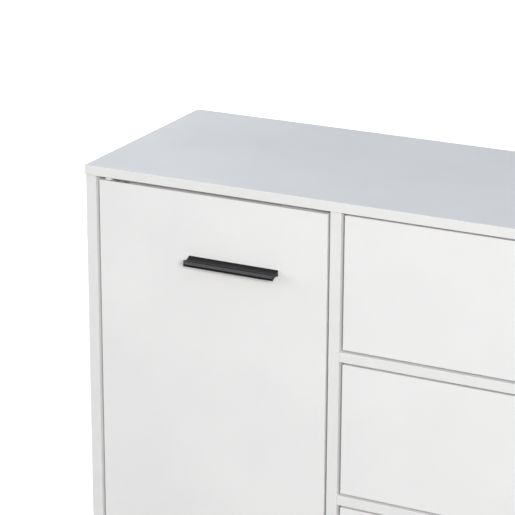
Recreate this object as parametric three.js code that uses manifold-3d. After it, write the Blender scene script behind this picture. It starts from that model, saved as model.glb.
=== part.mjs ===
// White sideboard: one hinged door on the left, three wide drawers on the right.
// Millimetres, +Z up, the front faces -Y, and the origin is the middle of the footprint on the floor.
import * as THREE from "three";
import { mergeVertices } from "three/addons/utils/BufferGeometryUtils.js";
import Module from "manifold-3d";

// ---- Carcass -------------------------------------------------------------------------------------
const HEIGHT = 800;
const DEPTH = 382; // side panels, front edge to back edge
const UPRIGHT = 18; // side panels and divider
const BOARD = 16; // every other board
const DOOR_BAY = 410; // clear width
const DRAWER_BAY = 786; // clear width
const WIDTH = 3 * UPRIGHT + DOOR_BAY + DRAWER_BAY;
const TOP_FRONT_OVERHANG = 2;
const TOP_SIDE_OVERHANG = 1;
const GLIDE_HEIGHT = 4;
const PLINTH_SETBACK = 30;
const SEAM = 0.2; // clearance where two boards meet

// ---- Fronts --------------------------------------------------------------------------------------
const FRONT_RECESS = 2; // fronts sit this far behind the carcass edge
const SIDE_GAP = 5;
const DRAWER_GAP = 4; // above and below each drawer front
const DRAWER_FRONT_HEIGHT = 217.5;
const DRAWER_OPENING = DRAWER_FRONT_HEIGHT + 2 * DRAWER_GAP;
const DOOR_TOP_GAP = 6.5;
const DOOR_BOTTOM_GAP = 4;
const DRAWER_NAMES = ["upper", "middle", "lower"];
const RAIL_DEPTH = 60;

// ---- Handles -------------------------------------------------------------------------------------
const HANDLE_LENGTH = 155;
const HANDLE_REACH = 21; // how far it stands out from the front
const HANDLE_FLANGE = 10; // height of the edge on the front
const HANDLE_BELOW_FRONT_TOP = 110; // middle of the flange, on a drawer
const DOOR_HANDLE_OFFSET = 40; // from the door's middle towards its opening edge

// ---- Places worked out from the sizes above ------------------------------------------------------
const HANDLE_FRONT = HANDLE_REACH + SEAM - FRONT_RECESS; // ahead of the carcass's front edge
const FRONT_Y = -(DEPTH - HANDLE_FRONT) / 2; // the carcass's front edge
const BACK_Y = FRONT_Y + DEPTH;
const FACE_Y = FRONT_Y + FRONT_RECESS; // outer face of the door and the drawer fronts
const FACE_BACK_Y = FACE_Y + BOARD;
const LEFT_X = -WIDTH / 2;
const DOOR_BAY_X = LEFT_X + UPRIGHT;
const DIVIDER_X = DOOR_BAY_X + DOOR_BAY;
const DRAWER_BAY_X = DIVIDER_X + UPRIGHT;
const RIGHT_SIDE_X = DRAWER_BAY_X + DRAWER_BAY;
const CEILING_Z = HEIGHT - BOARD; // underside of the top panel
const INSIDE_HEIGHT = 3 * DRAWER_OPENING + 2 * BOARD;
const FLOOR_Z = CEILING_Z - INSIDE_HEIGHT; // upper face of the bottom panel

// ---- Back panels ---------------------------------------------------------------------------------
const HARDBOARD = 3;
const BACK_INSET = 10; // from the carcass's back edge to the hardboard
const GROOVE_DEPTH = 6;
const GROOVE_FIT = 0.3; // clearance on each face of a sheet in its groove
const BACK_SHEET_Y = BACK_Y - BACK_INSET - HARDBOARD; // its front face

// ---- Shelf ---------------------------------------------------------------------------------------
const SHELF_FRONT_SETBACK = 40;
const SHELF_BACK_GAP = 6;
const SHELF_SIDE_GAP = 1;
const SHELF_PIN_RADIUS = 2.5;
const SHELF_PIN_DEPTH = 9; // inside the board
const SHELF_PIN_REACH = 9; // inside the compartment
const SHELF_PIN_COLLAR = 4;
const SHELF_PIN_COLUMNS = [FRONT_Y + 90, BACK_Y - 90];
const PIN_PITCH = 32;
const PIN_ROWS = [-PIN_PITCH, 0, PIN_PITCH]; // hole rows, from the row that is used
const SHELF_PIN_Z = FLOOR_Z + 350;

// ---- Door pivots and catch -----------------------------------------------------------------------
const PIVOT_INSET = 15; // axis to the door's hinge edge
const PIN_RADIUS = 2.5;
const PIN_PLATE = { length: 42, width: 10, thickness: 1.5 };
const BUSH = { sleeve: 4.5, flange: 7, upperHeight: 5.4, lowerHeight: 3, depth: 10, bore: 2.6 };
const PIN_TIP_CLEARANCE = 1;
const CATCH = { length: 46, depth: 14, height: 15 };
const CATCH_FROM_DIVIDER = 60;
const STRIKE = { length: 36, height: 13, thickness: 1.2 };
const CATCH_CLEARANCE = 0.4;

// ---- Drawer boxes and runners --------------------------------------------------------------------
const DRAWER_BOARD = 12;
const BOX_WIDTH = 760;
const BOX_LENGTH = 340;
const BOX_HEIGHT = 150;
const BOX_ABOVE_OPENING = 20; // lower edge of the sides over the opening's lower edge
const BOX_BACK_DROP = 8; // the back board stops this far below the sides
const SHEET_ABOVE_EDGE = 10; // bottom sheet over the lower edge of the sides
const RUNNER = {
  length: 340,
  height: 35,
  steel: 1.2,
  channel: 10,
  lip: 4,
  inner: 23,
  innerStart: 3,
  space: (DRAWER_BAY - BOX_WIDTH) / 2,
  setback: 22,
  aboveOpening: 80,
};

const ROUND = 20; // sides of a small round piece

// ---- Materials -----------------------------------------------------------------------------------
function material(color, roughness, metalness) {
  return new THREE.MeshStandardMaterial({ color, roughness, metalness });
}
const whiteBoard = () => material(0xebeaea, 0.45, 0);
const hardboard = () => material(0x8a6a48, 0.8, 0);
const blackAluminium = () => material(0x2b2b2c, 0.4, 0.8);
const zincSteel = () => material(0xb9bcc0, 0.35, 1);
const whiteNylon = () => material(0xf0f0ee, 0.5, 0);
const greyPlastic = () => material(0x6d6f72, 0.6, 0);

// ---- Solids --------------------------------------------------------------------------------------
const wasm = await Module();
wasm.setup();

function toSolid(geometry) {
  const bare = new THREE.BufferGeometry();
  const source = geometry.index ? geometry.toNonIndexed() : geometry;
  bare.setAttribute("position", source.getAttribute("position"));
  const merged = mergeVertices(bare, 1e-4);
  return new wasm.Manifold(
    new wasm.Mesh({
      numProp: 3,
      vertProperties: merged.attributes.position.array,
      triVerts: new Uint32Array(merged.index.array),
    }),
  );
}

function toGeometry(solid) {
  const mesh = solid.getMesh();
  const geometry = new THREE.BufferGeometry();
  geometry.setAttribute("position", new THREE.BufferAttribute(mesh.vertProperties, 3));
  geometry.setIndex(new THREE.BufferAttribute(mesh.triVerts, 1));
  const faceted = geometry.toNonIndexed();
  faceted.computeVertexNormals();
  return faceted;
}

// A box from its low corner to its high corner.
function box(low, high) {
  const size = high.map((value, axis) => value - low[axis]);
  const middle = high.map((value, axis) => (value + low[axis]) / 2);
  return new THREE.BoxGeometry(...size).translate(...middle);
}

// A cylinder along one axis, from one end to the other.
function cylinder(radius, axis, centre, start, end) {
  const shape = new THREE.CylinderGeometry(radius, radius, end - start, ROUND);
  if (axis === "x") shape.rotateZ(Math.PI / 2);
  if (axis === "z") shape.rotateX(Math.PI / 2);
  const place = [...centre];
  place["xyz".indexOf(axis)] = (start + end) / 2;
  return shape.translate(...place);
}

function cut(geometry, cutters) {
  const solid = cutters.reduce((left, cutter) => left.subtract(toSolid(cutter)), toSolid(geometry));
  return toGeometry(solid);
}

function join(geometries) {
  const [first, ...rest] = geometries.map(toSolid);
  return toGeometry(rest.reduce((sum, solid) => sum.add(solid), first));
}

function piece(parent, name, geometry, look) {
  const mesh = new THREE.Mesh(geometry, look);
  mesh.name = name;
  parent.add(mesh);
  return mesh;
}

// A closed section in the XZ plane, drawn as [along, up] points, swept along +Y.
function sweptAlongY(points, length) {
  const shape = new THREE.Shape(points.map(([along, up]) => new THREE.Vector2(along, up)));
  const swept = new THREE.ExtrudeGeometry(shape, { depth: length, bevelEnabled: false });
  return swept.rotateX(Math.PI / 2).translate(0, length, 0);
}

// ---- Carcass -------------------------------------------------------------------------------------
const sideboard = new THREE.Group();
sideboard.name = "sideboard";
const cabinet = new THREE.Group();
sideboard.add(cabinet);

// The space that a groove for the back sheet takes out of a board.
function backGroove(low, high) {
  return box(
    [low[0], BACK_SHEET_Y - GROOVE_FIT, low[1]],
    [high[0], BACK_SHEET_Y + HARDBOARD + GROOVE_FIT, high[1]],
  );
}

function shelfPinHoles(faceX, intoBoard) {
  const holes = [];
  for (const y of SHELF_PIN_COLUMNS) {
    for (const row of PIN_ROWS) {
      const ends = [faceX - intoBoard, faceX + intoBoard * (SHELF_PIN_DEPTH + 1)].sort((a, b) => a - b);
      holes.push(cylinder(SHELF_PIN_RADIUS + SEAM, "x", [0, y, SHELF_PIN_Z + row], ...ends));
    }
  }
  return holes;
}

function upright(name, x, grooveFaces, holes) {
  const low = [x, FRONT_Y, GLIDE_HEIGHT];
  const high = [x + UPRIGHT, BACK_Y, CEILING_Z - SEAM];
  const grooves = grooveFaces.map(([start, end]) => backGroove([start, FLOOR_Z - GROOVE_DEPTH], [end, HEIGHT]));
  piece(cabinet, name, cut(box(low, high), [...grooves, ...holes]), whiteBoard());
}

function topPanel() {
  const board = box(
    [LEFT_X - TOP_SIDE_OVERHANG, FRONT_Y - TOP_FRONT_OVERHANG, CEILING_Z],
    [-LEFT_X + TOP_SIDE_OVERHANG, BACK_Y, HEIGHT],
  );
  const groove = backGroove(
    [DOOR_BAY_X - GROOVE_DEPTH, CEILING_Z - 1],
    [RIGHT_SIDE_X + GROOVE_DEPTH, CEILING_Z + GROOVE_DEPTH],
  );
  const socket = cylinder(BUSH.sleeve + SEAM, "z", pivotPlace(), CEILING_Z - 1, CEILING_Z + BUSH.depth + 1);
  piece(cabinet, "top_panel", cut(board, [groove, socket]), whiteBoard());
}

// The bottom runs under both bays, so the divider stands on it and the two side panels hold it.
function bottomPanel() {
  const board = box(
    [DOOR_BAY_X + SEAM, FRONT_Y, FLOOR_Z - BOARD],
    [RIGHT_SIDE_X - SEAM, BACK_Y, FLOOR_Z],
  );
  const groove = backGroove([DOOR_BAY_X, FLOOR_Z - GROOVE_DEPTH], [RIGHT_SIDE_X, FLOOR_Z + 1]);
  const socket = cylinder(BUSH.sleeve + SEAM, "z", pivotPlace(), FLOOR_Z - BUSH.depth - 1, FLOOR_Z + 1);
  piece(cabinet, "bottom_panel", cut(board, [groove, socket]), whiteBoard());
}

function divider() {
  const board = box(
    [DIVIDER_X, FRONT_Y, FLOOR_Z + SEAM],
    [DIVIDER_X + UPRIGHT, BACK_Y, CEILING_Z - SEAM],
  );
  const grooves = [
    backGroove([DIVIDER_X - 1, FLOOR_Z - 1], [DIVIDER_X + GROOVE_DEPTH, HEIGHT]),
    backGroove([DIVIDER_X + UPRIGHT - GROOVE_DEPTH, FLOOR_Z - 1], [DIVIDER_X + UPRIGHT + 1, HEIGHT]),
  ];
  piece(cabinet, "divider", cut(board, [...grooves, ...shelfPinHoles(DIVIDER_X, 1)]), whiteBoard());
}

function plinth() {
  const y = FRONT_Y + PLINTH_SETBACK;
  const board = box(
    [DOOR_BAY_X + SEAM, y, GLIDE_HEIGHT],
    [RIGHT_SIDE_X - SEAM, y + BOARD, FLOOR_Z - BOARD - SEAM],
  );
  piece(cabinet, "plinth", board, whiteBoard());
}

function backPanel(name, bayX, bayWidth) {
  const inGroove = GROOVE_DEPTH - 2 * SEAM;
  const sheet = box(
    [bayX - inGroove, BACK_SHEET_Y, FLOOR_Z - inGroove],
    [bayX + bayWidth + inGroove, BACK_SHEET_Y + HARDBOARD, CEILING_Z + inGroove],
  );
  piece(cabinet, name, sheet, hardboard());
}

function drawerRail(name, openingZ) {
  const board = box(
    [DRAWER_BAY_X + SEAM, FRONT_Y, openingZ - BOARD],
    [RIGHT_SIDE_X - SEAM, FRONT_Y + RAIL_DEPTH, openingZ],
  );
  piece(cabinet, name, board, whiteBoard());
}

function glides() {
  const radius = 8;
  const ends = { front: FRONT_Y + 25, back: BACK_Y - 25 };
  const sides = { left: LEFT_X + UPRIGHT / 2, right: RIGHT_SIDE_X + UPRIGHT / 2 };
  for (const [end, y] of Object.entries(ends)) {
    for (const [side, x] of Object.entries(sides)) {
      const disc = cylinder(radius, "z", [x, y, 0], 0, GLIDE_HEIGHT - SEAM);
      piece(cabinet, `glide_${end}_${side}`, disc, greyPlastic());
    }
  }
}

// ---- Shelf ---------------------------------------------------------------------------------------
function shelf() {
  const board = box(
    [DOOR_BAY_X + SHELF_SIDE_GAP, FRONT_Y + SHELF_FRONT_SETBACK, SHELF_PIN_Z + SHELF_PIN_RADIUS + SEAM],
    [DIVIDER_X - SHELF_SIDE_GAP, BACK_SHEET_Y - SHELF_BACK_GAP, SHELF_PIN_Z + SHELF_PIN_RADIUS + SEAM + BOARD],
  );
  piece(cabinet, "shelf", board, whiteBoard());
}

// A turned pin with a collar against the board; its collar is flattened on top, to clear the shelf.
function shelfPin(name, faceX, y, inward) {
  const r = SHELF_PIN_RADIUS;
  const collarWidth = 0.7;
  const profile = [
    [0, -SHELF_PIN_DEPTH],
    [r, -SHELF_PIN_DEPTH],
    [r, SEAM],
    [SHELF_PIN_COLLAR, SEAM],
    [SHELF_PIN_COLLAR, SEAM + collarWidth],
    [r, SEAM + collarWidth],
    [r, SHELF_PIN_REACH],
    [0, SHELF_PIN_REACH],
  ].map(([radius, along]) => new THREE.Vector2(radius, along));
  const turned = new THREE.LatheGeometry(profile, ROUND);
  turned.rotateZ((-Math.PI / 2) * inward).translate(faceX, y, SHELF_PIN_Z);
  const above = box(
    [faceX - SHELF_PIN_DEPTH, y - SHELF_PIN_COLLAR, SHELF_PIN_Z + r],
    [faceX + SHELF_PIN_DEPTH, y + SHELF_PIN_COLLAR, SHELF_PIN_Z + 2 * SHELF_PIN_COLLAR],
  );
  piece(cabinet, name, cut(turned, [above]), zincSteel());
}

function shelfPins() {
  const [front, back] = SHELF_PIN_COLUMNS;
  shelfPin("shelf_pin_front_left", DOOR_BAY_X, front, 1);
  shelfPin("shelf_pin_back_left", DOOR_BAY_X, back, 1);
  shelfPin("shelf_pin_front_right", DIVIDER_X, front, -1);
  shelfPin("shelf_pin_back_right", DIVIDER_X, back, -1);
}

// ---- Handles -------------------------------------------------------------------------------------
// An extruded bar: a flange on the front, a waist hollowed above and below for the fingertips,
// and a lip that hangs a little lower than the flange.
function handleSection() {
  const half = HANDLE_FLANGE / 2;
  const lipTop = half - 1.5;
  const lipBottom = -half - 2;
  const lipBack = HANDLE_REACH - 3;
  const soft = 0.8;
  const shape = new THREE.Shape();
  shape.moveTo(0, -half);
  shape.lineTo(2, -half);
  shape.quadraticCurveTo(lipBack / 2 + 2, -half + 4.4, lipBack, lipBottom + 0.4);
  shape.quadraticCurveTo(lipBack + 0.6, lipBottom, HANDLE_REACH - soft, lipBottom);
  shape.quadraticCurveTo(HANDLE_REACH, lipBottom, HANDLE_REACH, lipBottom + soft);
  shape.lineTo(HANDLE_REACH, lipTop - soft);
  shape.quadraticCurveTo(HANDLE_REACH, lipTop, HANDLE_REACH - soft, lipTop);
  shape.lineTo(lipBack + 1, lipTop);
  shape.quadraticCurveTo(lipBack / 2 + 2, half - 6.4, 2, half);
  shape.lineTo(0, half);
  return shape;
}

// The section is drawn as (forwards, up) and swept along X.
function handle(parent, name, middleX, middleZ) {
  const bar = new THREE.ExtrudeGeometry(handleSection(), {
    depth: HANDLE_LENGTH,
    bevelEnabled: false,
    curveSegments: 8,
  });
  const forwards = new THREE.Vector3(0, -1, 0);
  const up = new THREE.Vector3(0, 0, 1);
  const along = new THREE.Vector3(-1, 0, 0);
  bar.applyMatrix4(new THREE.Matrix4().makeBasis(forwards, up, along));
  const mesh = piece(parent, name, bar, blackAluminium());
  mesh.position.set(middleX + HANDLE_LENGTH / 2, FACE_Y - SEAM, middleZ);
}

// ---- Door ----------------------------------------------------------------------------------------
const door = new THREE.Group();
sideboard.add(door);
const DOOR_LOW = [DOOR_BAY_X + SIDE_GAP, FACE_Y, FLOOR_Z + DOOR_BOTTOM_GAP];
const DOOR_HIGH = [DIVIDER_X - SIDE_GAP, FACE_BACK_Y, CEILING_Z - DOOR_TOP_GAP];

// The vertical pivot axis passes through here.
function pivotPlace() {
  return [DOOR_BAY_X + SIDE_GAP + PIVOT_INSET, FACE_Y + BOARD / 2, 0];
}

// The pocket in the door's edge that a pivot plate is let into.
function platePocket(edgeZ, outward) {
  const [x, y] = pivotPlace();
  const { length, width, thickness } = PIN_PLATE;
  const floor = edgeZ - (thickness + 2 * SEAM) * outward;
  const [low, high] = [floor, edgeZ + outward].sort((a, b) => a - b);
  const plateX = x - width / 2;
  return box(
    [plateX - SEAM, y - width / 2 - SEAM, low],
    [plateX + length + SEAM, y + width / 2 + SEAM, high],
  );
}

// A steel plate let into the door's edge, with the pivot pin standing out of it.
function pivot(name, edgeZ, outward) {
  const [x, y] = pivotPlace();
  const { length, width, thickness } = PIN_PLATE;
  const plateStart = edgeZ - (thickness + SEAM) * outward;
  const plateEnd = edgeZ - SEAM * outward;
  const bushFace = outward > 0 ? CEILING_Z : FLOOR_Z;
  const tip = bushFace + (BUSH.depth - PIN_TIP_CLEARANCE) * outward;
  const plateX = x - width / 2;
  const [low, high] = [plateStart, plateEnd].sort((a, b) => a - b);
  const [pinLow, pinHigh] = [plateStart, tip].sort((a, b) => a - b);
  const plate = box([plateX, y - width / 2, low], [plateX + length, y + width / 2, high]);
  const pin = cylinder(PIN_RADIUS, "z", [x, y, 0], pinLow, pinHigh);
  piece(door, name, join([plate, pin]), zincSteel());
}

// A nylon bush in the board that the pin turns in; its flange stands in the gap beside the door.
function bush(name, faceZ, outward, flangeHeight) {
  const place = pivotPlace();
  const ends = (from, to) => [faceZ + from * outward, faceZ + to * outward].sort((a, b) => a - b);
  const sleeve = cylinder(BUSH.sleeve, "z", place, ...ends(-SEAM - 0.1, BUSH.depth));
  const flange = cylinder(BUSH.flange, "z", place, ...ends(-flangeHeight, -SEAM));
  const bore = cylinder(BUSH.bore, "z", place, ...ends(-flangeHeight - 1, BUSH.depth - PIN_TIP_CLEARANCE / 2));
  piece(cabinet, name, cut(join([sleeve, flange]), [bore]), whiteNylon());
}

function magneticCatch() {
  const middleX = DIVIDER_X - CATCH_FROM_DIVIDER;
  const strikeBack = FACE_BACK_Y + SEAM + STRIKE.thickness;
  const catchFront = strikeBack + CATCH_CLEARANCE;
  const catchTop = CEILING_Z - SEAM;
  const middleZ = catchTop - CATCH.height / 2;
  const body = box(
    [middleX - CATCH.length / 2, catchFront, catchTop - CATCH.height],
    [middleX + CATCH.length / 2, catchFront + CATCH.depth, catchTop],
  );
  piece(cabinet, "magnetic_catch", body, whiteNylon());
  const strikeTop = Math.min(middleZ + STRIKE.height / 2, DOOR_HIGH[2]);
  const strike = box(
    [middleX - STRIKE.length / 2, FACE_BACK_Y + SEAM, strikeTop - STRIKE.height],
    [middleX + STRIKE.length / 2, strikeBack, strikeTop],
  );
  piece(door, "catch_strike", strike, zincSteel());
}

function doorAssembly(handleZ) {
  const pockets = [platePocket(DOOR_HIGH[2], 1), platePocket(DOOR_LOW[2], -1)];
  piece(door, "door_panel", cut(box(DOOR_LOW, DOOR_HIGH), pockets), whiteBoard());
  handle(door, "door_handle", DOOR_BAY_X + DOOR_BAY / 2 + DOOR_HANDLE_OFFSET, handleZ);
  pivot("door_pivot_upper", DOOR_HIGH[2], 1);
  pivot("door_pivot_lower", DOOR_LOW[2], -1);
  bush("pivot_bush_upper", CEILING_Z, 1, BUSH.upperHeight);
  bush("pivot_bush_lower", FLOOR_Z, -1, BUSH.lowerHeight);
  magneticCatch();
}

// ---- Drawers -------------------------------------------------------------------------------------
const BOX_X = DRAWER_BAY_X + RUNNER.space; // outer face of a drawer's left side
const BOX_Y = FACE_BACK_Y + SEAM;

function sheetGroove(low, high) {
  const bottom = BOX_ABOVE_OPENING + SHEET_ABOVE_EDGE;
  return box([...low, bottom - GROOVE_FIT], [...high, bottom + HARDBOARD + GROOVE_FIT]);
}

function drawerFront(group, name) {
  const board = box(
    [DRAWER_BAY_X + SIDE_GAP, FACE_Y, DRAWER_GAP],
    [RIGHT_SIDE_X - SIDE_GAP, FACE_BACK_Y, DRAWER_GAP + DRAWER_FRONT_HEIGHT],
  );
  const start = BOX_X + DRAWER_BOARD - GROOVE_DEPTH;
  const end = BOX_X + BOX_WIDTH - DRAWER_BOARD + GROOVE_DEPTH;
  const groove = sheetGroove([start, FACE_BACK_Y - GROOVE_DEPTH], [end, FACE_BACK_Y + 1]);
  piece(group, `drawer_front_${name}`, cut(board, [groove]), whiteBoard());
}

function drawerSide(group, name, x, innerX) {
  const board = box(
    [x, BOX_Y, BOX_ABOVE_OPENING],
    [x + DRAWER_BOARD, BOX_Y + BOX_LENGTH, BOX_ABOVE_OPENING + BOX_HEIGHT],
  );
  const groove = sheetGroove([innerX - GROOVE_DEPTH, BOX_Y - 1], [innerX + GROOVE_DEPTH, BOX_Y + BOX_LENGTH + 1]);
  piece(group, name, cut(board, [groove]), whiteBoard());
}

function drawerBack(group, name) {
  const sheetTop = BOX_ABOVE_OPENING + SHEET_ABOVE_EDGE + HARDBOARD;
  const board = box(
    [BOX_X + DRAWER_BOARD + SEAM, BOX_Y + BOX_LENGTH - DRAWER_BOARD, sheetTop + GROOVE_FIT],
    [BOX_X + BOX_WIDTH - DRAWER_BOARD - SEAM, BOX_Y + BOX_LENGTH, BOX_ABOVE_OPENING + BOX_HEIGHT - BOX_BACK_DROP],
  );
  piece(group, `drawer_back_${name}`, board, whiteBoard());
}

// The sheet slides in from behind, under the back board, into the sides' and the front's grooves.
function drawerSheet(group, name) {
  const inset = DRAWER_BOARD - GROOVE_DEPTH + 2 * SEAM;
  const bottom = BOX_ABOVE_OPENING + SHEET_ABOVE_EDGE;
  const sheet = box(
    [BOX_X + inset, FACE_BACK_Y - GROOVE_DEPTH + SEAM, bottom],
    [BOX_X + BOX_WIDTH - inset, BOX_Y + BOX_LENGTH, bottom + HARDBOARD],
  );
  piece(group, `drawer_bottom_${name}`, sheet, hardboard());
}

// Two nested channels. Their sections are drawn from the cabinet wall towards the drawer.
function cabinetChannel() {
  const { height, steel, channel, lip } = RUNNER;
  const top = height / 2;
  return [
    [0, -top],
    [channel, -top],
    [channel, -top + lip],
    [channel - steel, -top + lip],
    [channel - steel, -top + steel],
    [steel, -top + steel],
    [steel, top - steel],
    [channel - steel, top - steel],
    [channel - steel, top - lip],
    [channel, top - lip],
    [channel, top],
    [0, top],
  ];
}

function drawerChannel() {
  const { inner, innerStart, steel, space } = RUNNER;
  const top = inner / 2;
  const end = space - SEAM;
  return [
    [innerStart, -top],
    [end, -top],
    [end, top],
    [innerStart, top],
    [innerStart, top - steel],
    [end - steel, top - steel],
    [end - steel, -top + steel],
    [innerStart, -top + steel],
  ];
}

function runners(group, openingZ, name) {
  const walls = { left: [DRAWER_BAY_X + SEAM, 1], right: [RIGHT_SIDE_X - SEAM, -1] };
  for (const [side, [wallX, inward]] of Object.entries(walls)) {
    const placed = (section) => section.map(([along, up]) => [along * inward, up]);
    const still = sweptAlongY(placed(cabinetChannel()), RUNNER.length);
    const moving = sweptAlongY(placed(drawerChannel().map(([along, up]) => [along - SEAM, up])), RUNNER.length);
    const y = FRONT_Y + RUNNER.setback;
    const cabinetRunner = piece(cabinet, `cabinet_runner_${name}_${side}`, still, zincSteel());
    cabinetRunner.position.set(wallX, y, openingZ + RUNNER.aboveOpening);
    const drawerRunner = piece(group, `drawer_runner_${name}_${side}`, moving, zincSteel());
    drawerRunner.position.set(wallX, y, RUNNER.aboveOpening);
  }
}

// Everything in a drawer's group is placed from the lower edge of its opening.
function drawer(name, openingZ) {
  const group = new THREE.Group();
  group.position.z = openingZ;
  sideboard.add(group);
  drawerFront(group, name);
  drawerSide(group, `drawer_side_${name}_left`, BOX_X, BOX_X + DRAWER_BOARD);
  const rightX = BOX_X + BOX_WIDTH - DRAWER_BOARD;
  drawerSide(group, `drawer_side_${name}_right`, rightX, rightX);
  drawerBack(group, name);
  drawerSheet(group, name);
  handle(group, `drawer_handle_${name}`, DRAWER_BAY_X + DRAWER_BAY / 2, handleHeight());
  runners(group, openingZ, name);
}

// The middle of a drawer's handle, above the lower edge of its opening.
function handleHeight() {
  return DRAWER_GAP + DRAWER_FRONT_HEIGHT - HANDLE_BELOW_FRONT_TOP;
}

// ---- The whole sideboard -------------------------------------------------------------------------
function openingHeight(index) {
  return CEILING_Z - DRAWER_OPENING - index * (DRAWER_OPENING + BOARD);
}

upright("left_side", LEFT_X, [[DOOR_BAY_X - GROOVE_DEPTH, DOOR_BAY_X + 1]], shelfPinHoles(DOOR_BAY_X, -1));
upright("right_side", RIGHT_SIDE_X, [[RIGHT_SIDE_X - 1, RIGHT_SIDE_X + GROOVE_DEPTH]], []);
topPanel();
bottomPanel();
divider();
plinth();
backPanel("back_panel_left", DOOR_BAY_X, DOOR_BAY);
backPanel("back_panel_right", DRAWER_BAY_X, DRAWER_BAY);
drawerRail("drawer_rail_upper", openingHeight(0));
drawerRail("drawer_rail_lower", openingHeight(1));
glides();
shelf();
shelfPins();
doorAssembly(openingHeight(0) + handleHeight());
DRAWER_NAMES.forEach((name, index) => drawer(name, openingHeight(index)));

export default sideboard;
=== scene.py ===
"""White sideboard with black bar handles: one hinged door and three drawers.

Metres, +Z up, front towards -Y.
"""

import math

import bpy
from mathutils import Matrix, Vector


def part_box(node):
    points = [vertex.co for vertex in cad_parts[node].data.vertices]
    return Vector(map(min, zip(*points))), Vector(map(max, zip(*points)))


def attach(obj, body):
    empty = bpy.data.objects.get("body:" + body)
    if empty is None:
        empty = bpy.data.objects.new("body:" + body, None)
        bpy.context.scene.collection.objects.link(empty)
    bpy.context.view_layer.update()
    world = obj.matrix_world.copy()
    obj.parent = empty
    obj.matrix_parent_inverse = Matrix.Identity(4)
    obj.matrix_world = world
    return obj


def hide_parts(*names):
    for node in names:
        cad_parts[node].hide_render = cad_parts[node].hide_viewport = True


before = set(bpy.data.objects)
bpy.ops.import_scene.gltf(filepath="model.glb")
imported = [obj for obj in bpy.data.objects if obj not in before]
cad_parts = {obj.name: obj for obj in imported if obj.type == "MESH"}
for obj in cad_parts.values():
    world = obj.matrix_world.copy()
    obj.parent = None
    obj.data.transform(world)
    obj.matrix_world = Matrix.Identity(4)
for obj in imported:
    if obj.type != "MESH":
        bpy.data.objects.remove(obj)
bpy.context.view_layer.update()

MM = 0.001
CARCASS = "cabinet"
DRAWERS = ("upper", "middle", "lower")
AXES = {"x": 0, "y": 1, "z": 2}
BAND = 1.0 * MM  # thickness of the plastic edge strip
BOARD_EDGE = 0.7 * MM  # rounding along a board's edges
NEAR = 0.01 * MM  # points this close count as one place


# ---- Handling pieces -------------------------------------
def only(piece):
    """Makes a piece the one thing that is selected and active."""
    bpy.ops.object.select_all(action="DESELECT")
    piece.select_set(True)
    bpy.context.view_layer.objects.active = piece


def open_mesh(piece, kind="FACE", everything=False):
    """Goes into edit mode on one piece, with all or nothing of it selected."""
    only(piece)
    bpy.ops.object.mode_set(mode="EDIT")
    bpy.ops.mesh.select_mode(type=kind)
    bpy.ops.mesh.select_all(action="SELECT" if everything else "DESELECT")


def close_mesh():
    bpy.ops.object.mode_set(mode="OBJECT")


def settle(piece):
    """Puts a piece's place, turn and scale into its mesh."""
    only(piece)
    bpy.ops.object.transform_apply(location=True, rotation=True, scale=True)


def named(name):
    piece = bpy.context.object
    piece.name = name
    piece.data.name = name
    settle(piece)
    return piece


def block(name, low, high):
    """A box between two corners, ready to be shaped."""
    low, high = Vector(low), Vector(high)
    bpy.ops.object.select_all(action="DESELECT")
    bpy.ops.mesh.primitive_cube_add(size=1, location=(low + high) / 2, scale=high - low)
    return named(name)


TURNS = {"x": (0, math.pi / 2, 0), "y": (math.pi / 2, 0, 0), "z": (0, 0, 0)}


def rod(name, radius, centre, length, axis, sides=32):
    """A cylinder about a point, along one axis."""
    bpy.ops.object.select_all(action="DESELECT")
    bpy.ops.mesh.primitive_cylinder_add(
        vertices=sides, radius=radius, depth=length, location=centre, rotation=TURNS[axis]
    )
    return named(name)


def pick_faces(piece, wanted):
    """In edit mode, selects just the faces that wanted(centre, normal) says yes to."""
    bpy.ops.mesh.select_all(action="DESELECT")
    bpy.ops.object.mode_set(mode="OBJECT")
    for face in piece.data.polygons:
        face.select = bool(wanted(face.center, face.normal))
    bpy.ops.object.mode_set(mode="EDIT")


def use_modifier(piece, kind, **settings):
    only(piece)
    modifier = piece.modifiers.new(kind.lower(), kind)
    for key, value in settings.items():
        setattr(modifier, key, value)
    bpy.ops.object.modifier_apply(modifier=modifier.name)


def soften(piece, radius, segments=2, sharp=50):
    """Rounds every sharp edge of a piece."""
    open_mesh(piece, "EDGE")
    bpy.ops.mesh.edges_select_sharp(sharpness=math.radians(sharp))
    bpy.ops.mesh.bevel(offset=radius, segments=segments, profile=0.5, affect="EDGES", clamp_overlap=True)
    close_mesh()


def bevel_edges(piece, wanted, radius, segments):
    """Rounds just the edges that wanted(one end, other end) says yes to."""
    open_mesh(piece, "EDGE")
    bpy.ops.object.mode_set(mode="OBJECT")
    points = piece.data.vertices
    for edge in piece.data.edges:
        edge.select = bool(wanted(points[edge.vertices[0]].co, points[edge.vertices[1]].co))
    bpy.ops.object.mode_set(mode="EDIT")
    bpy.ops.mesh.bevel(offset=radius, segments=segments, profile=0.5, affect="EDGES", clamp_overlap=True)
    close_mesh()


def carve(piece, cutter):
    """Takes a cutter's shape out of a piece, and removes the cutter."""
    use_modifier(piece, "BOOLEAN", operation="DIFFERENCE", solver="EXACT", object=cutter)
    bpy.data.objects.remove(cutter)


def smooth(piece, angle=50):
    only(piece)
    bpy.ops.object.shade_smooth_by_angle(angle=math.radians(angle))
    use_modifier(piece, "WEIGHTED_NORMAL", keep_sharp=True, weight=100)


def copy_of(piece, name, shift):
    """A copy with its own mesh, moved by shift."""
    only(piece)
    bpy.ops.object.duplicate(linked=False)
    bpy.ops.transform.translate(value=shift)
    return named(name)


def fit(piece, body, slot, *nodes):
    """Says what a finished piece rides on and what it stands for; the slot is not used."""
    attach(piece, body)
    if nodes:
        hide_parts(*nodes)


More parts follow.
